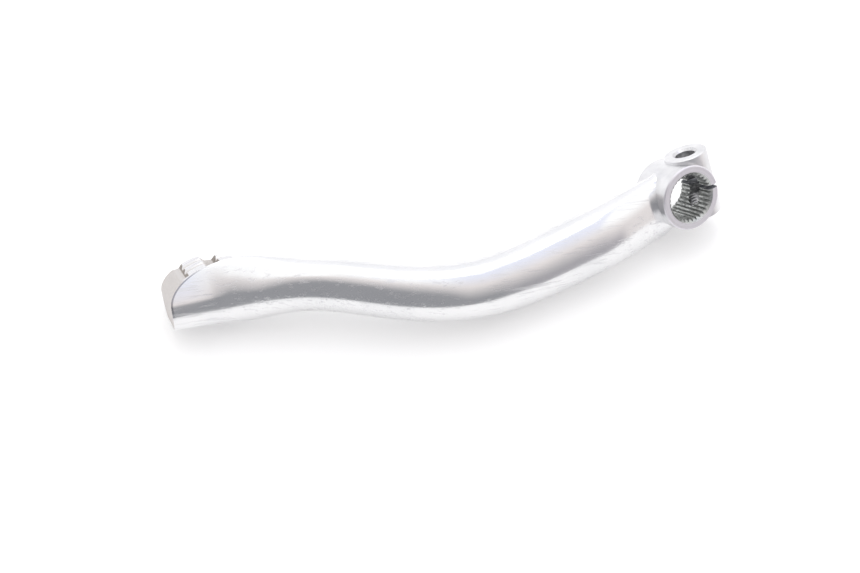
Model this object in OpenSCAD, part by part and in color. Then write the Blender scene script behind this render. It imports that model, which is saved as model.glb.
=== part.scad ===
// Kick start lever for a scooter: one aluminium casting.
// A splined clamp hub, a curved arm and a flared toe with grip blocks on top.
// X runs along the arm (the toe is at -X), Y points away from the engine, Z is up as fitted.
// The origin is the centre of the splined bore.

/* [Hub] */
// Outer diameter of the hub barrel
hub_d = 21.6; // [20.6:0.2:26]
// Length of the hub along its bore
hub_length = 17; // [15:0.5:22]
// Bevel on the rims of the barrel
hub_bevel = 0.4; // [0.2:0.1:1]

/* [Splined bore] */
// Diameter over the tips of the teeth
spline_tip_d = 14.9; // [13.5:0.1:15]
// Depth of the tooth spaces
spline_depth = 0.7; // [0.6:0.1:1]
// Number of teeth
spline_teeth = 32; // [24:1:36]
// Share of the tooth pitch that is land
spline_land = 0.42; // [0.38:0.02:0.5]

/* [Pinch clamp] */
// Width of the slot that lets the hub close
slot_w = 1.4; // [1:0.1:3]
// Diameter of the boss for the pinch bolt
boss_d = 14.2; // [12.6:0.2:16]
// Height of the boss above the slot, on the side of the bolt's head
boss_up = 11.9; // [10:0.1:14]
// Depth of the boss below the slot, on the tapped side
boss_down = 10.5; // [10:0.1:14]
// Distance from the bore's axis to the bolt's axis
bolt_offset = 7.1; // [6.9:0.1:10]
// Diameter of the clearance hole under the bolt's head
bolt_clear_d = 6.6; // [6.2:0.1:7]
// Diameter of the tapped hole in the lower ear
bolt_tap_d = 5.1; // [4.8:0.1:6]
// Diameter of the countersink round the clearance hole's mouth
bolt_mouth_d = 8.2; // [7.6:0.1:10]
// Diameter of the bevel round the tapped hole's mouth
tap_mouth_d = 6.4; // [6.2:0.1:8]

/* [Arm] */
// Length of the arm along its curve, from the hub's axis to the toe
arm_length = 171; // [165:1:200]
// Height of the arm's centre line at the hub
arm_start_z = -1.8; // [-3:0.1:0]
// Place of the arm's centre line across the hub
arm_start_y = 1.5; // [0:0.5:3]
// Place of the shank's centre line across the hub
shank_y = -2; // [-4:0.5:2]
// Angle at which the arm leaves the hub
start_angle = 2.5; // [0:0.5:6]
// Angle of the lift after the first bend
lift_angle = 31; // [20:1:36]
// Angle of the toe after the second bend
toe_angle = 15.5; // [8:0.5:20]
// How far the toe stands out from the hub's middle
toe_offset = 25; // [15:1:32]
// Height of the arm's section at the hub
root_height = 21.4; // [18:0.2:22]
// Depth of the arm's section at the hub
root_depth = 11; // [9:0.5:13]
// Depth of the shank's section
shank_depth = 16.6; // [13:0.2:19]
// Height of the waist between shank and toe
waist_height = 16.6; // [14:0.2:19]
// Height of the toe's section
toe_height = 20.8; // [18:0.2:22]

/* [Toe] */
// Depth of the toe on its polished side, from the centre line
toe_near = 5; // [3.5:0.5:7]
// Depth of the toe on its outer side, from the centre line
toe_far = 14.5; // [12:0.5:16]
// Length of the rounded nose along the arm
nose_length = 24; // [18:1:28]
// Height of the rounded nose
nose_height = 11; // [8:0.5:13]
// How far the sole rises towards the nose
sole_rise = 2.5; // [1:0.1:4]

/* [Grip] */
// Pitch of the cross notches
notch_pitch = 9.9; // [8:0.1:11]
// Distance from the nose to the first block
first_block = 7.6; // [6.6:0.1:9]
// Width of a cross notch at its foot
notch_w = 2; // [1.4:0.1:3]
// Depth of the first cross notch
notch_depth = 1.4; // [0.6:0.1:1.8]
// Angle at which the floor shared by the notches climbs towards the arm
floor_angle = 10; // [6:1:13]
// Distance over which the front of a block climbs
block_lean = 0.9; // [0.2:0.1:1.2]
// Distance from the nose to the end of the last block
grip_length = 21.6; // [20:0.2:24]
// Depth of the shallow step behind the last block
end_step = 1.1; // [0.4:0.1:1.5]
// Thickness of the rim that closes the notches on the polished side
rim_w = 1.6; // [1:0.1:3]
// How far the rim stands above the grip
rim_stand = 0.3; // [0.2:0.1:1.2]
// Pitch of the long grooves
groove_pitch = 5.2; // [3.5:0.1:5.6]
// Distance from the outer edge to the first long groove
first_groove = 4.8; // [4:0.1:6]
// Width of a long groove
groove_w = 3; // [1.5:0.1:3.4]
// Depth of a long groove
groove_depth = 1.2; // [0.8:0.1:2]

/* [Hidden] */

// Fineness of round holes and of the arm's rings
$fn = 64;
ring_points = 40;
arm_rings = 64;
// Clearance by which a cut runs past the face that it opens
over = 1;
// Height of the space that a cut clears above or below the toe
cut_room = 8;
// Squareness of the arm's section, 2 for an ellipse, and of the toe's polished side and top
shank_power = 2.1;
toe_near_power = 2.3;
toe_top_power = 7;
// How far the rising sole runs on behind the nose
sole_run = 8;
// How many times its depth the end step runs along the arm
end_run = 9;
// Straight pieces that make up the curve of the grip
bed_steps = 16;
// Width of a tooth space's foot as a share of its mouth
foot_share = 0.3;
// How far the tooth spaces and bevels start inside the tips of the teeth
tooth_bite = 0.3;
// How far the bevel at the bore's mouths reaches past the tooth spaces
mouth_margin = 0.4;

spline_root_d = spline_tip_d + 2 * spline_depth;
tooth_pitch = 360 / spline_teeth;

// Stations along the arm's curve, measured from the hub's axis
root_to = 9;
shank_from = 36;
lift_from = 45;

// Distances back from the toe's tip at which the arm's changes start and end
outset_start = 99;
outset_end = 5;
level_start = 68;
level_end = 20;
lift_end = 52;
waist_back = 43;
near_start = 33;
near_end = 12;
flare_start = 24;
flare_end = 11;
toe_full_back = 21;

outset_from = arm_length - outset_start;
outset_to = arm_length - outset_end;
level_from = arm_length - level_start;
level_to = arm_length - level_end;
lift_to = arm_length - lift_end;
waist_at = arm_length - waist_back;
near_from = arm_length - near_start;
near_to = arm_length - near_end;
flare_from = arm_length - flare_start;
flare_to = arm_length - flare_end;
toe_full = arm_length - toe_full_back;

// Eased step from 0 to 1 as x goes from a to b
function ease(x, a, b) =
    let (q = max(0, min(1, (x - a) / (b - a))))
    q * q * (3 - 2 * q);
function mix(a, b, q) = a + (b - a) * q;

// Slope of the centre line in side view, in degrees above level
function slope(s) = start_angle + (lift_angle - start_angle) * ease(s, lift_from, lift_to)
    - (lift_angle - toe_angle) * ease(s, level_from, level_to);
// Place across the hub of the centre line
function across(s) = mix(arm_start_y, shank_y, ease(s, 0, shank_from))
    + (toe_offset - shank_y) * ease(s, outset_from, outset_to);
// Half height of the section
function half_height(s) = (mix(root_height, waist_height, ease(s, shank_from, waist_at))
    + (toe_height - waist_height) * ease(s, waist_at, toe_full)
    + (hub_d - 2 * hub_bevel - root_height) * (1 - ease(s, 0, root_to))) / 2;
// How far the arm's root is raised to lie inside the barrel
function root_lift(s) = -arm_start_z * (1 - ease(s, 0, root_to));
// Half depth on the polished side and on the outer side
function shank_half(s) = mix(root_depth, shank_depth, ease(s, 0, shank_from)) / 2;
function near_depth(s) = mix(shank_half(s), toe_near, ease(s, near_from, near_to));
function far_depth(s) = mix(shank_half(s), toe_far, ease(s, flare_from, flare_to));
// Squareness of the section on the polished side and on the outer side's top
function near_power(s) = mix(shank_power, toe_near_power, ease(s, near_from, near_to));
function top_power(s) = mix(shank_power, toe_top_power, ease(s, flare_from, flare_to));

// Centre line in side view, summed in short steps
path_step = arm_length / (arm_rings - 1);
function walk(i, x, z) = i == arm_rings ? [] :
    let (mid = (i + 0.5) * path_step)
    concat([[x, z]], walk(i + 1, x - path_step * cos(slope(mid)), z + path_step * sin(slope(mid))));
centre_line = walk(0, 0, arm_start_z);
toe_tip = centre_line[arm_rings - 1];

// A signed power, for the superellipse
function spow(v, p) = sign(v) * pow(abs(v), p);
// One ring of the arm: a superellipse, shallower on one side than on the other
function ring(s, x, z) = [for (k = [0:ring_points - 1])
    let (
        a = 360 * k / ring_points,
        outer = cos(a) > 0,
        depth = outer ? far_depth(s) : near_depth(s),
        power = !outer ? near_power(s) : sin(a) > 0 ? top_power(s) : shank_power,
        across_part = depth * spow(cos(a), 2 / power),
        up_part = half_height(s) * spow(sin(a), 2 / power))
    [x + up_part * sin(slope(s)), across(s) + across_part, z + up_part * cos(slope(s))]];

// A closed solid through rings of equally many points
module loft(rings) {
    n = len(rings[0]);
    last = len(rings) - 1;
    points = [for (r = rings) each r];
    sides = [for (i = [0:last - 1], k = [0:n - 1])
        let (a = i * n + k, b = i * n + (k + 1) % n)
        each [[a, b, b + n], [a, b + n, a + n]]];
    start_cap = [for (k = [n - 1:-1:0]) k];
    end_cap = [for (k = [0:n - 1]) last * n + k];
    polyhedron(points, concat(sides, [start_cap, end_cap]), convexity = 6);
}

// The arm with its toe left square
module arm_blank() {
    loft([for (i = [0:arm_rings - 1])
        let (s = i * path_step, p = centre_line[i])
        ring(s, p[0], p[1] + root_lift(s))]);
}

// Carries a side outline, drawn as [back from the tip, up], across the toe
module at_toe(y_from, y_to) {
    translate([toe_tip[0], toe_offset + y_to, toe_tip[1]])
        rotate([0, toe_angle, 0])
            rotate([90, 0, 0])
                linear_extrude(height = y_to - y_from) children();
}

// What is cut off the square toe to leave the rounded nose and the rising sole
module nose_trim() {
    top = toe_height / 2;
    sole_end = nose_length + sole_run;
    curve = [for (a = [90:6:180])
        [nose_length * (1 + cos(a)), top - nose_height * (1 - sin(a))]];
    at_toe(-3 * toe_near, 2 * toe_far)
        polygon(concat(
            [[nose_length, top + cut_room]],
            curve,
            [
                [0, sole_rise - top],
                [sole_end, -top],
                [sole_end, -top - cut_room],
                [-cut_room, -top - cut_room],
                [-cut_room, top + cut_room]
            ]));
}

// Height of the grip behind the rim above the toe's centre line: the nose's curve, a little flatter
function grip_top(u) = toe_height / 2 - nose_height
    + (nose_height - rim_stand) * sqrt(max(0, 1 - pow(1 - min(1, u / nose_length), 2)));
// Height of the floor shared by the cross notches
function notch_floor(u) = grip_top(first_block) - notch_depth
    + (u - first_block + block_lean) * tan(floor_angle);

// What stands above the grip behind the rim, and above the shallow step that runs out into the arm
module grip_bed() {
    top = toe_height / 2;
    step_at = grip_length / bed_steps;
    at_toe(rim_w - toe_near, 2 * toe_far)
        polygon(concat(
            [for (i = [0:bed_steps]) [i * step_at, grip_top(i * step_at)]],
            [
                [grip_length + end_step, grip_top(grip_length) - end_step],
                [grip_length + end_run * end_step, top],
                [grip_length + end_run * end_step, top + cut_room],
                [-cut_room, top + cut_room],
                [-cut_room, grip_top(0)]
            ]));
}

// One cross notch: a leaning wall at the block behind it, and a slope up to the block before it
module cross_notch(block_at) {
    wall_foot = block_at - block_lean;
    front_foot = wall_foot - notch_w;
    wall = (grip_top(block_at) - notch_floor(wall_foot)) / block_lean;
    at_toe(rim_w - toe_near, 2 * toe_far)
        polygon([
            [wall_foot, notch_floor(wall_foot)],
            [front_foot, notch_floor(front_foot)],
            [front_foot - cut_room / 2, notch_floor(front_foot) + cut_room / 2],
            [block_at + over, notch_floor(front_foot) + cut_room],
            [block_at + over, grip_top(block_at) + wall * over]]);
}

// One long groove: a V carried along the nose's curve
module long_groove(y) {
    steps = 12;
    from = first_block - notch_w;
    to = grip_length + end_step;
    turn = [cos(toe_angle), sin(toe_angle)];
    loft([for (i = [0:steps])
        let (
            u = mix(from, to, i / steps),
            rise = grip_top(u),
            place = function (v, w)
                [toe_tip[0] + u * turn[0] + v * turn[1], toe_offset + y + w, toe_tip[1] + v * turn[0] - u * turn[1]])
        [place(rise - groove_depth, 0),
         place(rise + groove_depth, -groove_w),
         place(rise + groove_depth, groove_w)]]);
}

module grip_cuts() {
    grip_bed();
    for (i = [0:1]) cross_notch(first_block + i * notch_pitch);
    for (i = [0:1]) long_groove(toe_far - first_groove - groove_pitch * i);
}

// The barrel and the boss for the pinch bolt
module hub_blank() {
    rotate([90, 0, 0])
        rotate_extrude()
            polygon([
                [0, -hub_length / 2],
                [hub_d / 2 - hub_bevel, -hub_length / 2],
                [hub_d / 2, hub_bevel - hub_length / 2],
                [hub_d / 2, hub_length / 2 - hub_bevel],
                [hub_d / 2 - hub_bevel, hub_length / 2],
                [0, hub_length / 2]]);
    translate([bolt_offset, 0, -boss_down])
        cylinder(d = boss_d, h = boss_up + boss_down);
}

// The splined bore with its bevelled mouths
module spline_cut() {
    tip_r = spline_tip_d / 2;
    bevel = spline_depth + mouth_margin;
    rotate([90, 0, 0]) {
        translate([0, 0, -hub_length / 2 - over])
            cylinder(d = spline_tip_d, h = hub_length + 2 * over);
        for (i = [0:spline_teeth - 1])
            rotate([0, 0, i * tooth_pitch])
                translate([0, 0, -hub_length / 2 - over])
                    linear_extrude(height = hub_length + 2 * over)
                        tooth_space();
        for (side = [-1, 1])
            scale([1, 1, side])
                translate([0, 0, hub_length / 2 - bevel - tooth_bite])
                    cylinder(r1 = tip_r - tooth_bite, r2 = tip_r + bevel + over, h = bevel + tooth_bite + over);
    }
}

// The gap between two teeth, as a wedge that narrows outwards
module tooth_space() {
    half_mouth = tooth_pitch * (1 - spline_land) / 2;
    half_foot = half_mouth * foot_share;
    mouth = spline_tip_d / 2 * [cos(half_mouth), sin(half_mouth)];
    foot = spline_root_d / 2 * [cos(half_foot), sin(half_foot)];
    start = mouth + (mouth - foot) * tooth_bite / spline_depth;
    polygon([start, foot, [foot[0], -foot[1]], [start[0], -start[1]]]);
}

// The slot, the bolt's clearance hole above it and the tapped hole below it
module clamp_cuts() {
    mouth_depth = (bolt_mouth_d - bolt_clear_d) / 2;
    tap_mouth_depth = (tap_mouth_d - bolt_tap_d) / 2;
    translate([0, -hub_length, -slot_w / 2])
        cube([bolt_offset + boss_d, 2 * hub_length, slot_w]);
    translate([bolt_offset, 0, 0]) {
        cylinder(d = bolt_clear_d, h = boss_up + over);
        translate([0, 0, -boss_down - over])
            cylinder(d = bolt_tap_d, h = boss_down + over);
        translate([0, 0, boss_up - mouth_depth])
            cylinder(d1 = bolt_clear_d, d2 = bolt_mouth_d + 2 * over, h = mouth_depth + over);
        translate([0, 0, -boss_down - over])
            cylinder(d1 = tap_mouth_d + 2 * over, d2 = bolt_tap_d, h = tap_mouth_depth + over);
    }
}

module kick_lever() {
    color("silver")
        difference() {
            difference() {
                union() {
                    difference() {
                        arm_blank();
                        nose_trim();
                        grip_cuts();
                    }
                    hub_blank();
                }
                spline_cut();
            }
            clamp_cuts();
        }
}

kick_lever();
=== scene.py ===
import math

import bpy
import numpy as np
from mathutils import Matrix, Vector


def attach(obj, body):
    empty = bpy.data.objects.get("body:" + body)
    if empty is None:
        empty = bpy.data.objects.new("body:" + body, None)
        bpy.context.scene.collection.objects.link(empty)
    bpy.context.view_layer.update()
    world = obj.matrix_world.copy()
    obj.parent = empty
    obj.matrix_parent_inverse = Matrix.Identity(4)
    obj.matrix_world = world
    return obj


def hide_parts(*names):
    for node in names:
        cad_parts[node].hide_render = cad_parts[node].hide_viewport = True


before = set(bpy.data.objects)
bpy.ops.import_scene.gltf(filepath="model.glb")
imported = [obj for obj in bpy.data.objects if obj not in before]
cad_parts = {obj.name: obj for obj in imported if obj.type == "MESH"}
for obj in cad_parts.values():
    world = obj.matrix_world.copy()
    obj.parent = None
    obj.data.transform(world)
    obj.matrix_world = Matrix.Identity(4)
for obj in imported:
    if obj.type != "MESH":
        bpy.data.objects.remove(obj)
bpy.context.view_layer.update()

MM = 0.001

# Hub, bore and pinch clamp, in millimetres
HUB_D = 21.6
HUB_LENGTH = 17.0
HUB_BEVEL = 0.4
TIP_D = 14.9
TOOTH_DEPTH = 0.7
TEETH = 32
TOOTH_LAND = 0.42
FOOT_SHARE = 0.3
MOUTH_MARGIN = 0.4
SLOT_W = 1.4
BOSS_D = 14.2
BOSS_UP = 11.9
BOSS_DOWN = 10.5
BOLT_OFFSET = 7.1
BOLT_CLEAR_D = 6.6
BOLT_TAP_D = 5.1
BOLT_MOUTH_D = 8.2
TAP_MOUTH_D = 6.4
THREAD_PITCH = 1.0
THREAD_DEPTH = 0.3

# Arm, in millimetres and degrees
ARM_LENGTH = 171.0
ARM_START_Z = -1.8
ARM_START_Y = 1.5
SHANK_Y = -2.0
START_ANGLE = 2.5
LIFT_ANGLE = 31.0
TOE_ANGLE = 15.5
TOE_OFFSET = 25.0
ROOT_HEIGHT = 21.4
ROOT_DEPTH = 11.0
SHANK_DEPTH = 16.6
WAIST_HEIGHT = 16.6
TOE_HEIGHT = 20.8
SHANK_POWER = 2.1
TOE_NEAR_POWER = 2.3
CHEEK_POWER = 1.22
TOE_TOP_POWER = 7.0

# Toe and grip, in millimetres
TOE_NEAR = 6.3
TOE_FAR = 14.5
NOSE_LENGTH = 24.0
NOSE_HEIGHT = 11.0
SOLE_RISE = 2.5
SOLE_RUN = 8.0
NOTCH_PITCH = 9.9
FIRST_BLOCK = 7.6
NOTCH_W = 2.0
NOTCH_DEPTH = 1.4
FLOOR_ANGLE = 10.0
BLOCK_LEAN = 0.9
GRIP_LENGTH = 21.6
END_STEP = 1.1
END_RUN = 9.0
RIM_INSET = 1.7
RIM_STAND = 0.3
GROOVE_PITCH = 5.2
FIRST_GROOVE = 4.8
GROOVE_W = 3.0
GROOVE_DEPTH = 1.2

# Stations along the arm's curve, measured from the hub's axis
ROOT_TO = 9.0
SHANK_FROM = 36.0
LIFT_FROM = 45.0
OUTSET_FROM = ARM_LENGTH - 99
LEVEL_FROM = ARM_LENGTH - 68
LIFT_TO = ARM_LENGTH - 52
WAIST_AT = ARM_LENGTH - 43
NEAR_FROM = ARM_LENGTH - 33
TOE_FULL = ARM_LENGTH - 21
LEVEL_TO = ARM_LENGTH - 20
NEAR_TO = ARM_LENGTH - 12
CHEEK_FROM = ARM_LENGTH - 46
CHEEK_TO = ARM_LENGTH - 23
FLARE_FROM = ARM_LENGTH - 24
FLARE_TO = ARM_LENGTH - 11
OUTSET_TO = ARM_LENGTH - 5

# Fineness of the mesh: rings along the arm and the toe, points round them, and the step of the grip's grid
TOE_MESH_FROM = 130
ARM_RINGS = 200
TOE_RINGS = 110
ARM_POINTS = 144
GRIP_STEP = 0.2
SHARP_ANGLE = 32

# The camera, and the upward normal of the surface that the lever lies on
CAMERA_AT = Vector((-165.9, -275.9, 134.9)) * MM
CAMERA_RIGHT = Vector((0.86, -0.382, -0.34))
CAMERA_UP = Vector((0.452, 0.259, 0.853))
CAMERA_LENS = 41.86
FLOOR_UP = Vector((0.092, -0.596, 0.798)).normalized()

# The table: how much it glows for the camera and for the metal, so that both see it white
LEVER_MIDDLE = Vector((-0.08, 0.01, 0))
TABLE_REACH = 1.5
TABLE_COLOUR = (0.88, 0.88, 0.875, 1)
CAMERA_GLOW = 0.28
METAL_GLOW = 0.26

# The room, by the angle about the arm's length from the near horizon over the top, in degrees. It is dark at
# first, brightens up to an edge and then turns to sky. On the toe's side the edge is higher and both of these
# rises are shorter by the factors given. The hub's side has a paler dark and a bluish patch in its sky.
HUB_SIDE_EDGE = 54.0
TOE_SIDE_EDGE = 83.0
TOE_END_RISE = 3.0
TOE_DARKER = 1.8
TOE_SHARPER = 7.0
DARK_TO_EDGE = 40.0
EDGE_TO_SKY = 33.0
FAR_FROM = 125.0
NEAR_COLOUR = (0.345, 0.348, 0.368)
HUB_SIDE_COLOUR = (0.48, 0.46, 0.49)
EDGE_COLOUR = (0.9, 0.85, 0.84)
SKY_COLOUR = (1.22, 1.22, 1.22)
FAR_COLOUR = (1.1, 1.1, 1.13)
PATCH_COLOUR = (0.95, 0.97, 1.09)
ARM_WAY = Vector((-160, 25, 35)).normalized()

TOE_COS, TOE_SIN = math.cos(math.radians(TOE_ANGLE)), math.sin(math.radians(TOE_ANGLE))


def ease(x, a, b):
    """Eased step from 0 to 1 as x goes from a to b: q squared times (3 - 2 q)."""
    q = np.clip((x - a) / (b - a), 0, 1)
    return q * q * (3 - 2 * q)


def mix(a, b, q):
    return a + (b - a) * q


def slope(s):
    """Slope of the centre line in side view, in radians: the lift comes in, then about half of it goes out."""
    lift = (LIFT_ANGLE - START_ANGLE) * ease(s, LIFT_FROM, LIFT_TO)
    return np.radians(START_ANGLE + lift - (LIFT_ANGLE - TOE_ANGLE) * ease(s, LEVEL_FROM, LEVEL_TO))


def centre_line(s):
    """Side view of the centre line at stations s: the slope summed in fine steps from the hub's axis."""
    steps = 63 * 16
    ds = ARM_LENGTH / steps
    middle = (np.arange(steps) + 0.5) * ds
    x = np.concatenate([[0], np.cumsum(-ds * np.cos(slope(middle)))])
    z = np.concatenate([[0], np.cumsum(ds * np.sin(slope(middle)))])
    at = np.linspace(0, ARM_LENGTH, steps + 1)
    past = np.maximum(s - ARM_LENGTH, 0)
    return (np.interp(s, at, x) - past * np.cos(slope(s)),
            np.interp(s, at, z) + ARM_START_Z + past * np.sin(slope(s)))


def across(s):
    """Place of the centre line across the hub: a small shift inwards, then the swing out to the toe."""
    return (mix(ARM_START_Y, SHANK_Y, ease(s, 0, SHANK_FROM))
            + (TOE_OFFSET - SHANK_Y) * ease(s, OUTSET_FROM, OUTSET_TO))


def half_height(s):
    """Half height of the section: root, waist and toe heights eased into each other."""
    return (mix(ROOT_HEIGHT, WAIST_HEIGHT, ease(s, SHANK_FROM, WAIST_AT))
            + (TOE_HEIGHT - WAIST_HEIGHT) * ease(s, WAIST_AT, TOE_FULL)
            + (HUB_D - 2 * HUB_BEVEL - ROOT_HEIGHT) * (1 - ease(s, 0, ROOT_TO))) / 2


def section(s, turn):
    """Section of the arm at stations s, as distances across and up from its centre.

    Each quarter is a superellipse of its own depth and power, walked by its polar angle, so that the
    points stay evenly spread: the radius is (|cos|^p + |sin|^p) to the power -1/p.
    """
    near, flare = ease(s, NEAR_FROM, NEAR_TO), ease(s, FLARE_FROM, FLARE_TO)
    shank = mix(ROOT_DEPTH, SHANK_DEPTH, ease(s, 0, SHANK_FROM)) / 2
    c, d = np.cos(turn), np.sin(turn)
    near_power = np.where(d > 0, mix(SHANK_POWER, CHEEK_POWER, ease(s, CHEEK_FROM, CHEEK_TO)),
                          mix(SHANK_POWER, TOE_NEAR_POWER, near))
    power = np.where(c <= 0, near_power, np.where(d > 0, mix(SHANK_POWER, TOE_TOP_POWER, flare), SHANK_POWER))
    depth = np.where(c > 0, mix(shank, TOE_FAR, flare), mix(shank, TOE_NEAR, near))
    radius = (np.abs(c) ** power + np.abs(d) ** power) ** (-1 / power)
    return depth * radius * c, half_height(s) * radius * d


def toe_point(u, v, y):
    """Places points given as back from the tip, up and across into the part's frame."""
    tip_x, tip_z = (float(a) for a in centre_line(np.float64(ARM_LENGTH)))
    x, z = tip_x + u * TOE_COS + v * TOE_SIN, tip_z + v * TOE_COS - u * TOE_SIN
    return np.stack([x, y + 0 * u, z], axis=-1)


def toe_tip():
    return toe_point(np.zeros(1), np.zeros(1), 0.0)[0]


def nose_top(u, height=NOSE_HEIGHT):
    """Height of the nose's curve above the toe's centre line: a quarter of an ellipse."""
    q = 1 - np.clip(u / NOSE_LENGTH, 0, 1)
    return TOE_HEIGHT / 2 - NOSE_HEIGHT + height * np.sqrt(np.maximum(0, 1 - q * q))


def grip_top(u):
    """Height of the grip behind the rim: the nose's curve, a little flatter."""
    return nose_top(u, NOSE_HEIGHT - RIM_STAND)


def notch_floor(u):
    """The floor shared by the cross notches: a line that climbs towards the arm."""
    start = grip_top(np.float64(FIRST_BLOCK)) - NOTCH_DEPTH
    return start + (u - FIRST_BLOCK + BLOCK_LEAN) * math.tan(math.radians(FLOOR_ANGLE))


def soft_step(x, width):
    """0 below zero, 1 above width, eased between them."""
    return ease(x, 0, width)


def soft_max(a, b, round_by):
    """The larger of two heights, with the corner between them rounded: the mean plus a rounded half gap."""
    return (a + b + np.sqrt((a - b) ** 2 + round_by ** 2)) / 2


def soft_min(a, b, round_by):
    return -soft_max(-a, -b, round_by)


def grip_height(u, y):
    """Height of the toe's top with its grip cut in.

    Behind the rim the top is the grip's curve, lowered by the long grooves. Each cross notch is the
    shared floor between a steep wall at the block behind it and a slope up to the block before it, and
    the lower of curve and notch is taken. The rim on the polished side stays whole.
    """
    bed = grip_top(u)
    end = grip_top(np.float64(GRIP_LENGTH))
    fall = end - END_STEP * np.clip((u - GRIP_LENGTH) / END_STEP, 0, 1)
    climb = (TOE_HEIGHT / 2 - end + END_STEP) / ((END_RUN - 1) * END_STEP)
    past = fall + climb * np.maximum(0, u - GRIP_LENGTH - END_STEP)
    bed = np.where(u > GRIP_LENGTH, past, bed)
    along = soft_step(u - FIRST_BLOCK + BLOCK_LEAN, 0.8) * (1 - soft_step(u - GRIP_LENGTH, END_STEP))
    groove = np.zeros(np.broadcast(u, y).shape)
    for i in range(2):
        off = np.abs(y - (TOE_OFFSET + TOE_FAR - FIRST_GROOVE - GROOVE_PITCH * i)) / (GROOVE_W / 2 + 0.4)
        groove = np.maximum(groove, GROOVE_DEPTH * 0.5 * (1 + np.cos(math.pi * np.clip(off, 0, 1))))
    top = bed - groove * along
    for i in range(2):
        foot = FIRST_BLOCK + i * NOTCH_PITCH - BLOCK_LEAN
        block = grip_top(np.float64(foot + BLOCK_LEAN))
        wall = notch_floor(foot) + (u - foot) * (block - notch_floor(foot)) / BLOCK_LEAN
        slope_up = notch_floor(foot - NOTCH_W) + (foot - NOTCH_W - u)
        notch = soft_max(soft_max(notch_floor(u), wall, 0.25), slope_up, 0.3)
        top = soft_min(top, notch, 0.25)
    behind_rim = soft_step(y - (TOE_OFFSET - RIM_INSET), 0.4)
    return mix(nose_top(u), np.minimum(top, nose_top(u)), behind_rim)


def closed_mesh(name, rings, materials, slots=None):
    """A closed solid through rings of equally many points: quads between them and one face at each end."""
    n, m = rings.shape[:2]
    here = np.arange(n * m).reshape(n, m)
    quads = np.stack([here[:-1], np.roll(here, -1, 1)[:-1], np.roll(here, -1, 1)[1:], here[1:]], axis=-1)
    faces = quads.reshape(-1, 4).tolist() + [here[0][::-1].tolist(), here[-1].tolist()]
    mesh = bpy.data.meshes.new(name)
    mesh.from_pydata((rings.reshape(-1, 3) * MM).tolist(), [], faces)
    for material in materials:
        mesh.materials.append(material)
    if slots is not None:
        rows = np.concatenate([np.repeat(slots[1:-1], m), [slots[0], slots[-1]]])
        mesh.polygons.foreach_set("material_index", rows.astype(np.int32))
    if signed_volume(mesh) < 0:
        mesh.flip_normals()
    thing = bpy.data.objects.new(name, mesh)
    bpy.context.scene.collection.objects.link(thing)
    return thing


def signed_volume(mesh):
    """Volume of a closed mesh: the sum over its triangles of a . (b x c) / 6."""
    mesh.calc_loop_triangles()
    points = np.empty(len(mesh.vertices) * 3)
    mesh.vertices.foreach_get("co", points)
    corners = np.empty(len(mesh.loop_triangles) * 3, np.int32)
    mesh.loop_triangles.foreach_get("vertices", corners)
    a, b, c = points.reshape(-1, 3)[corners.reshape(-1, 3)].transpose(1, 0, 2)
    return float((a * np.cross(b, c)).sum() / 6)


def turned(name, profile, segments, place, materials, slots=None):
    """A solid of revolution: each (radius, height) of the profile is a ring, put in the frame by place."""
    turn = np.linspace(0, 2 * math.pi, segments, endpoint=False)
    r, h = np.array(profile, float).T[:, :, None]
    rings = place(r * np.cos(turn), r * np.sin(turn), h + 0 * turn)
    return closed_mesh(name, rings, materials, slots)


def upright(x, y, z):
    """Places a revolve on the pinch bolt's axis."""
    return np.stack([x + BOLT_OFFSET, y, z], axis=-1)


def along_bore(x, y, z):
    """Places a revolve on the bore's axis, its height along +Y."""
    return np.stack([x, z, y], axis=-1)


def cut_or_join(base, tool, operation):
    """Runs one boolean on the base and takes the tool away."""
    modifier = base.modifiers.new(tool.name, "BOOLEAN")
    modifier.operation = operation
    modifier.solver = "MANIFOLD"
    modifier.material_mode = "TRANSFER"
    modifier.object = tool
    bpy.context.view_layer.update()
    done = bpy.data.meshes.new_from_object(base.evaluated_get(bpy.context.evaluated_depsgraph_get()))
    base.modifiers.clear()
    base.data = done
    bpy.data.objects.remove(tool)
    return base


def arm(material):
    """The arm with its toe left square and 2 mm too long, for the nose's cutter to finish."""
    stations = np.concatenate([np.linspace(0, TOE_MESH_FROM, ARM_RINGS, endpoint=False),
                               np.linspace(TOE_MESH_FROM, ARM_LENGTH + 2, TOE_RINGS)])
    turn = np.linspace(0, 2 * math.pi, ARM_POINTS, endpoint=False)
    s, t = np.meshgrid(stations, turn, indexing="ij")
    out, up = section(s, t)
    x, z = centre_line(s)
    lift = -ARM_START_Z * (1 - ease(s, 0, ROOT_TO))
    rings = np.stack([x + up * np.sin(slope(s)), across(s) + out, z + lift + up * np.cos(slope(s))], axis=-1)
    return closed_mesh("arm", rings, [material])


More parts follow.
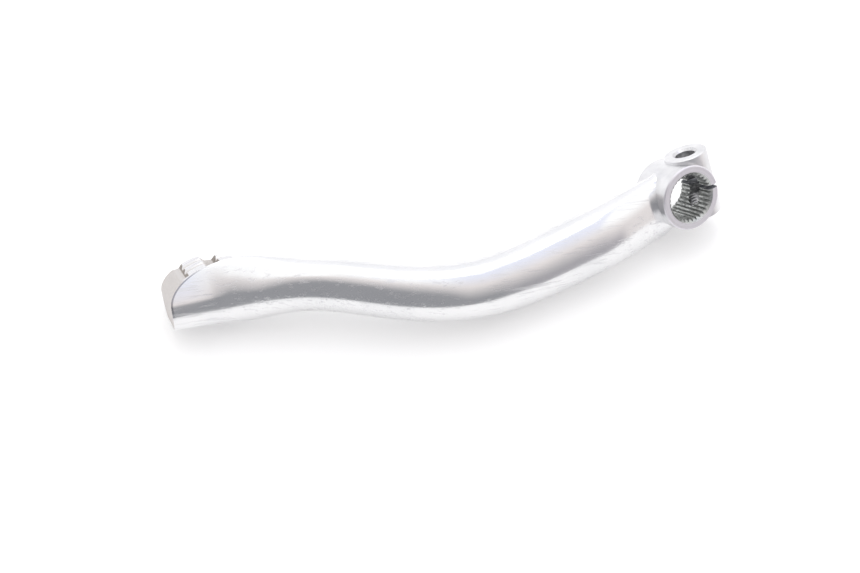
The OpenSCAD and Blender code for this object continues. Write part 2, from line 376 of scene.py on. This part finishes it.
def nose_cutter(material):
    """What lies above the toe's top and past its tip.

    Its lower side is the line up the end face, the nose's curve and the top, each lowered by the grip.
    """
    turn = np.radians(np.linspace(0, 90, 70))
    u = np.unique(np.concatenate([
        NOSE_LENGTH * (1 - np.cos(turn)), np.arange(4, GRIP_LENGTH + 3, GRIP_STEP), np.arange(24, 34, 0.8),
        *[FIRST_BLOCK + i * NOTCH_PITCH + np.linspace(-1.3, 0.7, 21) for i in range(2)]]).round(4))
    y = np.concatenate([[TOE_OFFSET - TOE_NEAR - 6],
                        np.arange(-TOE_NEAR - 1, TOE_FAR + 1.2, GRIP_STEP) + TOE_OFFSET,
                        [TOE_OFFSET + TOE_FAR + 6]])
    uu, yy = np.meshgrid(u, y)
    top = grip_height(uu, yy)
    face = toe_point(uu, top, yy)
    end_v = np.linspace(-TOE_HEIGHT / 2 - 3, TOE_HEIGHT / 2 - NOSE_HEIGHT, 12, endpoint=False)
    ev, ey = np.meshgrid(end_v, y)
    end = toe_point(0 * ev, ev, ey)
    far = np.array([[u[-1], 14], [-9, 14], [-9, -TOE_HEIGHT / 2 - 3]])
    fv, fy = np.meshgrid(far[:, 1], y)
    rest = toe_point(np.broadcast_to(far[:, 0], fv.shape), fv, fy)
    return closed_mesh("nose_cutter", np.concatenate([end, face, rest], axis=1), [material])


def sole_cutter(material):
    """What lies below the rising sole."""
    top = TOE_HEIGHT / 2
    fall = SOLE_RISE / (NOSE_LENGTH + SOLE_RUN)
    outline = np.array([[-4, SOLE_RISE - top + 4 * fall], [NOSE_LENGTH + SOLE_RUN, -top],
                        [NOSE_LENGTH + SOLE_RUN, -top - 8], [-4, -top - 8]])
    y = np.array([TOE_OFFSET - 15, TOE_OFFSET + 25])
    vv, yy = np.meshgrid(outline[:, 1], y)
    rings = toe_point(np.broadcast_to(outline[:, 0], vv.shape), vv, yy)
    return closed_mesh("sole_cutter", rings, [material])


def barrel(side, ring_face):
    half, r = HUB_LENGTH / 2, HUB_D / 2
    profile = [(0.5, -half), (r - HUB_BEVEL, -half), (r, HUB_BEVEL - half), (r, half - HUB_BEVEL),
               (r - HUB_BEVEL, half), (0.5, half)]
    return turned("barrel", profile, 256, along_bore, [side, ring_face], np.array([1, 1, 1, 0, 1, 1, 1]))


def boss(material):
    edge = 0.25
    r = BOSS_D / 2
    profile = [(0.5, -BOSS_DOWN), (r - edge, -BOSS_DOWN), (r, edge - BOSS_DOWN), (r, BOSS_UP - edge),
               (r - edge, BOSS_UP), (0.5, BOSS_UP)]
    return turned("boss", profile, 192, upright, [material])


def spline_cutter(material):
    """The bore: a radius that follows the teeth round the axis, and widens to the bevels at both mouths."""
    tip, root = TIP_D / 2, TIP_D / 2 + TOOTH_DEPTH
    pitch = 2 * math.pi / TEETH
    mouth = pitch * (1 - TOOTH_LAND) / 2
    foot = mouth * FOOT_SHARE
    flank = np.linspace(0, 1, 5)
    corner_a, corner_b = mix(mouth, foot, flank), mix(tip, root, flank)
    land = np.linspace(mouth - pitch, -mouth, 5)[1:-1]
    turn = np.concatenate([-corner_a, [0], corner_a[::-1], land + pitch])
    radius = np.concatenate([corner_b, [root], corner_b[::-1], tip + 0 * land])
    turn = (turn[None] + pitch * np.arange(TEETH)[:, None]).ravel()
    radius = np.tile(radius, TEETH)
    half, bevel = HUB_LENGTH / 2, TOOTH_DEPTH + MOUTH_MARGIN
    edge = np.concatenate([np.linspace(half - bevel, half, 9), [half + 1]])
    y = np.concatenate([-edge[::-1], edge])[:, None]
    cone = tip + np.abs(y) - (half - bevel)
    r = np.maximum(radius, cone)
    rings = np.stack([r * np.cos(turn), y + 0 * r, r * np.sin(turn)], axis=-1)
    return closed_mesh("spline_cutter", rings, [material])


def slot_cutter(material):
    outline = np.array([[0, -SLOT_W / 2], [BOLT_OFFSET + BOSS_D, -SLOT_W / 2],
                        [BOLT_OFFSET + BOSS_D, SLOT_W / 2], [0, SLOT_W / 2]])
    y = np.array([-HUB_LENGTH, HUB_LENGTH])
    xx, yy = np.meshgrid(outline[:, 0], y)
    zz = np.broadcast_to(outline[:, 1], xx.shape)
    return closed_mesh("slot_cutter", np.stack([xx, yy, zz], axis=-1), [material])


def bolt_cutter(material):
    r, mouth = BOLT_CLEAR_D / 2, BOLT_MOUTH_D / 2
    profile = [(r, 0), (r, BOSS_UP - (mouth - r)), (mouth, BOSS_UP), (mouth + 1, BOSS_UP + 1)]
    return turned("bolt_cutter", profile, 128, upright, [material])


def thread_cutter(material):
    """The tapped hole: its wall waves with the height less one pitch a turn, so its crests are a helix."""
    turn = np.linspace(0, 2 * math.pi, 64, endpoint=False)
    z = np.linspace(-BOSS_DOWN - 1, 0, 150)[:, None]
    wave = np.abs((z / THREAD_PITCH - turn / (2 * math.pi)) % 1 - 0.5) * 2
    mouth = TAP_MOUTH_D / 2 - (z + BOSS_DOWN)
    r = np.maximum(BOLT_TAP_D / 2 + THREAD_DEPTH * wave, mouth)
    return closed_mesh("thread_cutter", upright(r * np.cos(turn), r * np.sin(turn), z + 0 * turn), [material])


def kick_lever(finishes):
    """The whole casting: arm and hub joined, then every opening cut."""
    lever = arm(finishes["polished"])
    cut_or_join(lever, nose_cutter(finishes["cast_face"]), "DIFFERENCE")
    cut_or_join(lever, sole_cutter(finishes["polished"]), "DIFFERENCE")
    cut_or_join(lever, barrel(finishes["hub_side"], finishes["ring_face"]), "UNION")
    cut_or_join(lever, boss(finishes["hub_side"]), "UNION")
    cut_or_join(lever, spline_cutter(finishes["bore"]), "DIFFERENCE")
    cut_or_join(lever, slot_cutter(finishes["slot"]), "DIFFERENCE")
    cut_or_join(lever, bolt_cutter(finishes["bolt_hole"]), "DIFFERENCE")
    cut_or_join(lever, thread_cutter(finishes["bolt_hole"]), "DIFFERENCE")
    lever.name = "kick_lever_casting"
    lever.data.name = "kick_lever_casting"
    lever.data.shade_smooth()
    lever.data.set_sharp_from_angle(angle=math.radians(SHARP_ANGLE))
    return lever


def add(tree, kind, inputs=None, **settings):
    """Adds a node, gives it its settings, and links or fills its inputs."""
    node = tree.nodes.new("ShaderNode" + kind)
    for key, value in settings.items():
        setattr(node, key, value)
    for key, value in (inputs or {}).items():
        if isinstance(value, bpy.types.NodeSocket):
            tree.links.new(value, node.inputs[key])
        else:
            node.inputs[key].default_value = value
    return node


def maths(tree, operation, *values):
    return add(tree, "Math", dict(enumerate(values)), operation=operation).outputs[0]


def step(tree, value, low, high, out_low=0.0, out_high=1.0):
    """An eased step of a value, from out_low at low to out_high at high."""
    return add(tree, "MapRange", {"Value": value, "From Min": low, "From Max": high, "To Min": out_low,
                                  "To Max": out_high}, interpolation_type="SMOOTHSTEP").outputs[0]


def ramp(tree, value, low, high):
    return add(tree, "MapRange", {"Value": value, "From Min": low, "From Max": high}).outputs[0]


def blend(tree, factor, a, b):
    """Colour a where the factor is 0 and colour b where it is 1."""
    node = tree.nodes.new("ShaderNodeMix")
    node.data_type = "RGBA"
    for socket, value in ((node.inputs[0], factor), (node.inputs[6], a), (node.inputs[7], b)):
        if isinstance(value, bpy.types.NodeSocket):
            tree.links.new(value, socket)
        else:
            socket.default_value = value
    return node.outputs[2]


def noise(tree, place, scale, detail=3.0, rough=0.55):
    return add(tree, "TexNoise", {"Vector": place, "Scale": scale, "Detail": detail,
                                  "Roughness": rough}).outputs["Fac"]


def group(name, inputs, outputs):
    """An empty node group with its sockets, as its tree, the sockets coming in and the node going out."""
    tree = bpy.data.node_groups.new(name, "ShaderNodeTree")
    for label, kind, value in inputs:
        socket = tree.interface.new_socket(label, in_out="INPUT", socket_type="NodeSocket" + kind)
        if value is not None:
            socket.default_value = value
    for label in outputs:
        tree.interface.new_socket(label, in_out="OUTPUT", socket_type="NodeSocketFloat")
    return tree, tree.nodes.new("NodeGroupInput").outputs, tree.nodes.new("NodeGroupOutput")


def scratches_group():
    """Fine scratches along X: two layers of noise drawn out into streaks, and kept where they peak."""
    tree, given, out = group("fine_scratches", [("Place", "Vector", None), ("Spacing", "Float", 1800.0),
                                                ("Share", "Float", 0.5)], ["Height", "Mask"])
    layers = []
    for turn, drawn, low in ((0.05, 0.028, 0.56), (-0.16, 0.045, 0.6)):
        place = add(tree, "Mapping", {"Vector": given["Place"], "Rotation": (turn, turn, turn),
                                      "Scale": (drawn, 1.0, 1.0)}).outputs[0]
        layers.append(step(tree, noise(tree, place, given["Spacing"], 2.0), low, low + 0.12))
    both = maths(tree, "MAXIMUM", *layers)
    mask = maths(tree, "MULTIPLY", both, given["Share"])
    tree.links.new(mask, out.inputs["Mask"])
    tree.links.new(maths(tree, "MULTIPLY", mask, -1.0), out.inputs["Height"])
    return tree


def grain_group():
    """The skin of a casting: fine grains over broader dimples."""
    tree, given, out = group("cast_grain", [("Place", "Vector", None), ("Grain", "Float", 2600.0)],
                             ["Height", "Mask"])
    fine = noise(tree, given["Place"], given["Grain"], 4.0, 0.6)
    broad = noise(tree, given["Place"], maths(tree, "MULTIPLY", given["Grain"], 0.3), 2.0)
    tree.links.new(maths(tree, "ADD", maths(tree, "MULTIPLY", fine, 0.6), broad), out.inputs["Height"])
    tree.links.new(step(tree, fine, 0.42, 0.62), out.inputs["Mask"])
    return tree


def grime_group():
    """Dirt that lies where a mask says, with a broken edge: the mask plus noise, stepped."""
    tree, given, out = group("grime", [("Place", "Vector", None), ("Where", "Float", 0.5),
                                       ("Size", "Float", 700.0), ("Broken", "Float", 0.7)], ["Mask"])
    cloud = maths(tree, "SUBTRACT", noise(tree, given["Place"], given["Size"], 5.0, 0.65), 0.5)
    sum_up = maths(tree, "ADD", given["Where"], maths(tree, "MULTIPLY", cloud, given["Broken"]))
    tree.links.new(step(tree, sum_up, 0.3, 0.7), out.inputs["Mask"])
    return tree


def turning_group():
    """Turning marks: rings of uneven depth, from noise along the distance to the axis."""
    tree, given, out = group("turning_marks", [("Radius", "Float", 0.0), ("Rings", "Float", 3200.0)],
                             ["Height", "Mask"])
    rings = add(tree, "TexNoise", {"W": given["Radius"], "Scale": given["Rings"], "Detail": 2.0},
                noise_dimensions="1D").outputs["Fac"]
    tree.links.new(rings, out.inputs["Height"])
    tree.links.new(step(tree, rings, 0.4, 0.65), out.inputs["Mask"])
    return tree


def use(tree, effect, **values):
    """Places an effect's group, with its inputs linked or filled."""
    node = tree.nodes.new("ShaderNodeGroup")
    node.node_tree = effect
    for key, value in values.items():
        socket = node.inputs[key.title()]
        if isinstance(value, bpy.types.NodeSocket):
            tree.links.new(value, socket)
        else:
            socket.default_value = value
    return node.outputs


def principled(name, **values):
    """A material with the given values on its Principled shader's sockets."""
    material = bpy.data.materials.new(name)
    material.use_nodes = True
    shader = material.node_tree.nodes["Principled BSDF"]
    for socket, value in values.items():
        shader.inputs[socket.replace("_", " ").title()].default_value = value
    return material, material.node_tree, shader


def connect(tree, shader, colour, rough, height, depth, strength):
    """Feeds the shader's colour and roughness, and its normal through a bump of the given depth in metres."""
    tree.links.new(colour, shader.inputs["Base Color"])
    tree.links.new(rough, shader.inputs["Roughness"])
    bump = add(tree, "Bump", {"Height": height, "Distance": depth, "Strength": strength})
    tree.links.new(bump.outputs[0], shader.inputs["Normal"])


def object_place(tree, turn=0.0):
    """Object coordinates, turned about Y so that X follows the arm."""
    place = tree.nodes.new("ShaderNodeTexCoord").outputs["Object"]
    return add(tree, "Mapping", {"Vector": place, "Rotation": (0, turn, 0)}).outputs[0] if turn else place


def split(tree, place):
    """The three coordinates of a place."""
    return add(tree, "SeparateXYZ", {0: place}).outputs


def length(tree, a, b):
    """The root of the sum of two squares."""
    squares = [maths(tree, "MULTIPLY", part, part) for part in (a, b)]
    return maths(tree, "SQRT", maths(tree, "ADD", *squares))


def distance_from_bore(tree, place):
    x, y, z = split(tree, place)
    return length(tree, x, z)


def show_metal(tree, shader, dirt):
    """Metal where there is no dirt."""
    tree.links.new(maths(tree, "SUBTRACT", 1.0, dirt), shader.inputs["Metallic"])


def mask_of(tree, name):
    return add(tree, "Attribute", attribute_name=name).outputs["Fac"]


def rim_painted_reflection(tree):
    """1 on a thin line along the toe's rim, on the polished side, where a dark painted reflection of the
    rounded rim edge goes.

    In the toe's own directions, back from the tip and up, the rim is an ellipse; the line is where the
    distance from the ellipse's centre, with its two radii made 1, comes close to 1.
    """
    place = {0: object_place(tree), 1: tuple(toe_tip() * MM)}
    moved = add(tree, "VectorMath", place, operation="SUBTRACT").outputs[0]
    back, up = (add(tree, "VectorMath", {0: moved, 1: way}, operation="DOT_PRODUCT").outputs["Value"]
                for way in ((TOE_COS, 0, -TOE_SIN), (TOE_SIN, 0, TOE_COS)))
    along = maths(tree, "SUBTRACT", 1.0, maths(tree, "DIVIDE", back, NOSE_LENGTH * MM))
    above = maths(tree, "SUBTRACT", up, (TOE_HEIGHT / 2 - NOSE_HEIGHT) * MM)
    above = maths(tree, "DIVIDE", maths(tree, "MAXIMUM", above, 0.0), NOSE_HEIGHT * MM)
    line = maths(tree, "MULTIPLY", step(tree, length(tree, along, above), 0.968, 0.985),
                 step(tree, along, 0.42, 0.75))
    return maths(tree, "MULTIPLY", line, step(tree, up, -5 * MM, 0.0, 0.0, 0.8))


def polished_finish(effects):
    """Buffed aluminium: bright, with fine scratches along the arm, duller patches and a few stains."""
    material, tree, shader = principled("polished_aluminium", metallic=1.0)
    place = object_place(tree, math.radians(-20))
    scratch = use(tree, effects["scratches"], place=place, spacing=1150.0, share=0.9)
    patches = noise(tree, place, 55.0, 4.0)
    colour = blend(tree, step(tree, patches, 0.35, 0.7), (0.86, 0.86, 0.865, 1), (0.8, 0.805, 0.815, 1))
    colour = blend(tree, maths(tree, "MULTIPLY", scratch["Mask"], 0.25), colour, (0.6, 0.6, 0.62, 1))
    stain = use(tree, effects["grime"], place=place, where=0.12, size=210.0, broken=0.75)
    colour = blend(tree, maths(tree, "MULTIPLY", stain["Mask"], 0.3), colour, (0.66, 0.62, 0.58, 1))
    # A dark gray line painted along the toe's rim: a painted reflection of its rounded edge.
    colour = blend(tree, rim_painted_reflection(tree), colour, (0.26, 0.26, 0.28, 1))
    rough = maths(tree, "ADD", step(tree, patches, 0.3, 0.75, 0.13, 0.2),
                  maths(tree, "MULTIPLY", scratch["Mask"], 0.2))
    connect(tree, shader, colour, rough, scratch["Height"], 0.00001, 0.5)
    return material


def side_finish(effects):
    """The hub's outside: fettled and buffed less, so it is satin, with coarser marks and a little grain."""
    material, tree, shader = principled("satin_hub_side", metallic=1.0)
    place = object_place(tree)
    scratch = use(tree, effects["scratches"], place=place, spacing=1300.0, share=0.4)
    grain = use(tree, effects["grain"], place=place, grain=1500.0)
    colour = blend(tree, step(tree, noise(tree, place, 160.0), 0.35, 0.7), (0.83, 0.83, 0.84, 1),
                   (0.72, 0.72, 0.735, 1))
    colour = blend(tree, maths(tree, "MULTIPLY", scratch["Mask"], 0.25), colour, (0.66, 0.66, 0.67, 1))
    rough = maths(tree, "ADD", maths(tree, "MULTIPLY", grain["Mask"], 0.06), 0.3)
    height = maths(tree, "ADD", maths(tree, "MULTIPLY", grain["Height"], 0.4), scratch["Height"])
    connect(tree, shader, colour, rough, height, 0.00001, 0.35)
    return material


def ring_finish(effects):
    """The hub's end faces: turned, gray, with rings round the bore and small knocks."""
    material, tree, shader = principled("turned_hub_face", metallic=1.0)
    place = object_place(tree)
    marks = use(tree, effects["turning"], radius=distance_from_bore(tree, place), rings=3200.0)
    dirt = use(tree, effects["grime"], place=place, where=0.2, size=620.0, broken=0.8)
    colour = blend(tree, marks["Mask"], (0.77, 0.75, 0.79, 1), (0.86, 0.84, 0.875, 1))
    colour = blend(tree, maths(tree, "MULTIPLY", dirt["Mask"], 0.5), colour, (0.5, 0.485, 0.5, 1))
    rough = maths(tree, "ADD", maths(tree, "MULTIPLY", marks["Mask"], 0.1), 0.46)
    connect(tree, shader, colour, rough, marks["Height"], 0.00003, 0.6)
    return material


def bore_finish(effects):
    """The bore: patches of old grease, a little more of it in the grooves, and bare metal between."""
    material, tree, shader = principled("grimy_bore")
    place = object_place(tree)
    radius = distance_from_bore(tree, place)
    groove = step(tree, radius, (TIP_D / 2 + 0.05) * MM, (TIP_D / 2 + 0.6) * MM, 0.46, 0.56)
    mouth = step(tree, maths(tree, "ABSOLUTE", split(tree, place)[1]), (HUB_LENGTH / 2 - 0.9) * MM,
                 (HUB_LENGTH / 2 - 0.6) * MM, 1.0, 0.25)
    where = maths(tree, "MULTIPLY", groove, mouth)
    dirt = use(tree, effects["grime"], place=place, where=where, size=620.0, broken=1.3)["Mask"]
    marks = use(tree, effects["grain"], place=place, grain=2400.0)
    bare = blend(tree, marks["Mask"], (0.58, 0.59, 0.575, 1), (0.44, 0.45, 0.44, 1))
    dark = blend(tree, noise(tree, place, 500.0), (0.24, 0.25, 0.245, 1), (0.42, 0.43, 0.42, 1))
    show_metal(tree, shader, dirt)
    connect(tree, shader, blend(tree, dirt, bare, dark), step(tree, dirt, 0, 1, 0.35, 0.7), marks["Height"],
            0.00004, 0.6)
    return material


def sawn_finish(effects):
    """The slot's faces: sawn and dull, and over most of them darkened to a bluish near black."""
    material, tree, shader = principled("sawn_slot")
    place = object_place(tree)
    scratch = use(tree, effects["scratches"], place=place, spacing=2600.0, share=0.9)
    # Most of the slot's faces are darkened to a bluish near black.
    dirt = use(tree, effects["grime"], place=place, where=0.55, size=500.0, broken=0.8)["Mask"]
    bare = blend(tree, scratch["Mask"], (0.6, 0.6, 0.63, 1), (0.4, 0.4, 0.43, 1))
    show_metal(tree, shader, dirt)
    connect(tree, shader, blend(tree, dirt, bare, (0.07, 0.075, 0.09, 1)), step(tree, dirt, 0, 1, 0.4, 0.7),
            scratch["Height"], 0.00003, 0.8)
    return material


def bolt_finish(effects):
    """The bolt holes and their mouths: drilled, and darker, down to near black, further in towards the slot.
    """
    material, tree, shader = principled("drilled_bolt_hole")
    place = object_place(tree)
    marks = use(tree, effects["grain"], place=place, grain=3000.0)
    far = maths(tree, "ABSOLUTE", split(tree, place)[2])
    # Darker, down to near black, further into the hole towards the slot.
    darker_towards_slot = step(tree, far, (BOLT_CLEAR_D / 2) * MM, (BOSS_DOWN - 4) * MM, 0.6, 0.0)
    dirt = use(tree, effects["grime"], place=place, where=darker_towards_slot, size=700.0, broken=0.6)["Mask"]
    bare = blend(tree, marks["Mask"], (0.72, 0.72, 0.73, 1), (0.58, 0.58, 0.59, 1))
    show_metal(tree, shader, dirt)
    connect(tree, shader, blend(tree, dirt, bare, (0.1, 0.1, 0.105, 1)), step(tree, dirt, 0, 1, 0.3, 0.65),
            marks["Height"], 0.00002, 0.5)
    return material


def cast_finish(effects):
    """The toe's end and grip: matt cast metal, bright from wear and a painted highlight on the tops of the
    ridges, with brown dirt and painted shade in the notches.
    """
    material, tree, shader = principled("cast_toe")
    place = object_place(tree)
    grain = use(tree, effects["grain"], place=place, grain=1900.0)
    # Brown dirt and painted shade: the notch floors and the walls that face the nose are painted dark brown.
    dirt = use(tree, effects["grime"], place=place, where=mask_of(tree, "notch_dirt_and_shade"), size=900.0,
               broken=0.45)["Mask"]
    # Wear and a painted highlight: the block tops are painted a paler, bluish gray, and made less rough.
    wear_and_highlight = mask_of(tree, "ridge_wear_and_highlight")
    bare = blend(tree, grain["Mask"], (0.65, 0.62, 0.6, 1), (0.59, 0.565, 0.55, 1))
    bare = blend(tree, wear_and_highlight, bare, (0.73, 0.73, 0.75, 1))
    dark = blend(tree, noise(tree, place, 800.0), (0.15, 0.12, 0.1, 1), (0.38, 0.34, 0.3, 1))
    tree.links.new(step(tree, dirt, 0, 1, 1.0, 0.15), shader.inputs["Metallic"])
    rough = maths(tree, "SUBTRACT", 0.52, maths(tree, "MULTIPLY", wear_and_highlight, 0.3))
    connect(tree, shader, blend(tree, dirt, bare, dark), rough, grain["Height"], 0.00006, 0.7)
    return material


def all_finishes():
    effects = {"scratches": scratches_group(), "grain": grain_group(), "grime": grime_group(),
               "turning": turning_group()}
    return {"polished": polished_finish(effects), "hub_side": side_finish(effects),
            "ring_face": ring_finish(effects), "bore": bore_finish(effects), "slot": sawn_finish(effects),
            "bolt_hole": bolt_finish(effects), "cast_face": cast_finish(effects)}


def toe_masks(thing):
    """Writes two masks on the casting's vertices.

    The notch mask rises with the depth below the grip's own curve, and on the walls that face the nose: brown
    dirt and painted shade. The mask for the ridges is 1 on the tops of the blocks and behind the grip, and
    fades down the grooves and towards the nose: wear and a painted highlight.
    """
    n = len(thing.data.vertices)
    spot, normal = np.empty(n * 3), np.empty(n * 3)
    thing.data.vertices.foreach_get("co", spot)
    thing.data.vertices.foreach_get("normal", normal)
    spot, normal = spot.reshape(-1, 3) / MM, normal.reshape(-1, 3)
    x, _, z = (spot - toe_tip()).T
    u, v = x * TOE_COS - z * TOE_SIN, x * TOE_SIN + z * TOE_COS
    below = grip_top(u) - v
    faces_nose = -(normal[:, 0] * TOE_COS - normal[:, 2] * TOE_SIN)
    in_grip = soft_step(u - 4.5, 2.0) * (1 - soft_step(u - GRIP_LENGTH - 1, 1.5))
    in_notch = np.zeros(n)
    for i in range(2):
        foot = FIRST_BLOCK + i * NOTCH_PITCH - BLOCK_LEAN
        here = soft_step(u - foot + NOTCH_W + 1.2, 1.2) * (1 - soft_step(u - foot - 1.1, 0.5))
        in_notch = np.maximum(in_notch, here)
    # The notch floors and the walls that face the nose are painted dark: brown dirt and painted shade.
    wall = soft_step(faces_nose - 0.55, 0.3) * in_notch * soft_step(u - 5.5, 0.8)
    notch_dirt_and_shade = np.clip(0.4 * soft_step(below - 0.35, 0.8) * in_notch + 0.9 * wall, 0, 1)
    # The block tops and the top behind the grip are painted paler: wear and a painted highlight.
    ridge_wear_and_highlight = np.maximum(in_grip * (1 - soft_step(below - 0.1, 0.9)) * (1 - notch_dirt_and_shade),
                       soft_step(u - GRIP_LENGTH - 0.8, 1.0))
    for name, value in (("notch_dirt_and_shade", notch_dirt_and_shade), ("ridge_wear_and_highlight", ridge_wear_and_highlight)):
        mask = thing.data.attributes.new(name, "FLOAT", "POINT")
        mask.data.foreach_set("value", value.astype(np.float32))


def floor(lowest):
    """A wide pale plane at the height where the lever lies, which can't be seen from below.

    It glows a little for the camera and the metal only, so no more light falls on the lever.
    """
    side = FLOOR_UP.orthogonal().normalized()
    other = FLOOR_UP.cross(side)
    middle = FLOOR_UP * lowest + LEVER_MIDDLE - FLOOR_UP * FLOOR_UP.dot(LEVER_MIDDLE)
    corners = [middle + side * a * TABLE_REACH + other * b * TABLE_REACH
               for a, b in ((-1, -1), (1, -1), (1, 1), (-1, 1))]
    mesh = bpy.data.meshes.new("table_top")
    mesh.from_pydata(corners, [], [(0, 1, 2, 3)])
    if mesh.polygons[0].normal.dot(FLOOR_UP) < 0:
        mesh.flip_normals()
    table = bpy.data.objects.new("table_top", mesh)
    bpy.context.scene.collection.objects.link(table)
    material, tree, shader = principled("pale_table", base_color=TABLE_COLOUR, roughness=0.6)
    nodes, links = tree.nodes, tree.links
    clear = nodes.new("ShaderNodeBsdfTransparent")
    pick = nodes.new("ShaderNodeMixShader")
    back = nodes.new("ShaderNodeNewGeometry")
    links.new(back.outputs["Backfacing"], pick.inputs[0])
    links.new(shader.outputs[0], pick.inputs[1])
    path = nodes.new("ShaderNodeLightPath").outputs
    glow = maths(tree, "ADD", maths(tree, "MULTIPLY", path["Is Camera Ray"], CAMERA_GLOW),
                 maths(tree, "MULTIPLY", path["Is Glossy Ray"], METAL_GLOW))
    shader.inputs["Emission Color"].default_value = (1, 1, 1, 1)
    links.new(glow, shader.inputs["Emission Strength"])
    links.new(clear.outputs[0], pick.inputs[2])
    links.new(pick.outputs[0], nodes["Material Output"].inputs["Surface"])
    mesh.materials.append(material)


def look_matrix(place, right, up):
    """A frame at place whose X is right and whose Y is up, made square."""
    x = right.normalized()
    y = (up - x * up.dot(x)).normalized()
    z = x.cross(y)
    turn = Matrix((x, y, z)).transposed().to_4x4()
    return Matrix.Translation(place) @ turn


def camera():
    data = bpy.data.cameras.new("camera")
    data.sensor_width = 36
    data.lens = CAMERA_LENS
    data.clip_start = 0.01
    view = bpy.data.objects.new("camera", data)
    view.matrix_world = look_matrix(CAMERA_AT, CAMERA_RIGHT, CAMERA_UP)
    bpy.context.scene.collection.objects.link(view)
    bpy.context.scene.camera = view


def soft_lamp(name, toward, distance, size, power):
    """A square area lamp that lies toward a direction from the lever and faces it."""
    data = bpy.data.lights.new(name, "AREA")
    data.shape = "SQUARE"
    data.size = size
    data.energy = power
    middle = LEVER_MIDDLE + Vector((0, 0, 0.01))
    lamp = bpy.data.objects.new(name, data)
    way = toward.normalized()
    turn = way.to_track_quat("Z", "Y").to_matrix().to_4x4()
    lamp.matrix_world = Matrix.Translation(middle + way * distance) @ turn
    bpy.context.scene.collection.objects.link(lamp)


def surroundings():
    """The room: white where the camera sees it, and as its values above say for light and reflections.

    The angle of a direction is that of its parts upward and towards the near side. Its lean is its part
    along the arm: below zero towards the hub, above zero towards the toe.
    """
    world = bpy.data.worlds.new("room")
    bpy.context.scene.world = world
    world.use_nodes = True
    tree = world.node_tree
    way = tree.nodes.new("ShaderNodeTexCoord").outputs["Generated"]
    near = FLOOR_UP.cross(ARM_WAY).normalized()
    along = near.cross(FLOOR_UP)
    parts = [add(tree, "VectorMath", {0: way, 1: tuple(axis)}, operation="DOT_PRODUCT").outputs["Value"]
             for axis in (FLOOR_UP, near, along)]
    angle = maths(tree, "DEGREES", maths(tree, "ARCTAN2", parts[0], parts[1]))
    lean = parts[2]
    edge = maths(tree, "ADD", step(tree, lean, -0.15, 0.1, HUB_SIDE_EDGE, TOE_SIDE_EDGE),
                 step(tree, lean, 0.14, 0.32, 0.0, TOE_END_RISE))
    dark = blend(tree, step(tree, lean, -0.65, -0.4), (*HUB_SIDE_COLOUR, 1), (*NEAR_COLOUR, 1))
    dark = blend(tree, step(tree, lean, -0.8, -0.88), dark, (*EDGE_COLOUR, 1))
    sky = blend(tree, step(tree, angle, FAR_FROM, 165), (*SKY_COLOUR, 1), (*FAR_COLOUR, 1))
    patch = maths(tree, "MULTIPLY", step(tree, lean, -0.55, -0.42), step(tree, lean, -0.06, -0.2))
    patch = maths(tree, "MULTIPLY", patch, step(tree, angle, 130, 115))
    sky = blend(tree, patch, sky, (*PATCH_COLOUR, 1))
    past = maths(tree, "SUBTRACT", angle, edge)
    below = maths(tree, "MULTIPLY", past, step(tree, lean, 0.1, 0.28, 1.0, TOE_DARKER))
    colour = blend(tree, ramp(tree, below, -DARK_TO_EDGE, 0), dark, (*EDGE_COLOUR, 1))
    above = maths(tree, "MULTIPLY", past, step(tree, lean, 0.02, 0.2, 1.0, TOE_SHARPER))
    colour = blend(tree, ramp(tree, above, 0, EDGE_TO_SKY), colour, sky)
    seen = tree.nodes.new("ShaderNodeLightPath").outputs["Is Camera Ray"]
    colour = blend(tree, seen, colour, (1, 1, 1, 1))
    tree.links.new(colour, tree.nodes["Background"].inputs["Color"])


bpy.context.scene.view_settings.view_transform = "Standard"
lever = kick_lever(all_finishes())
toe_masks(lever)
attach(lever, "root")
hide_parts("kick_lever")

spots = np.empty(len(lever.data.vertices) * 3)
lever.data.vertices.foreach_get("co", spots)
lowest = float((spots.reshape(-1, 3) @ np.array(FLOOR_UP)).min())
floor(lowest)
camera()
surroundings()
away = FLOOR_UP.cross(CAMERA_RIGHT).normalized()
soft_lamp("overhead", FLOOR_UP + 0.6 * away, distance=0.9, size=0.5, power=0.9)
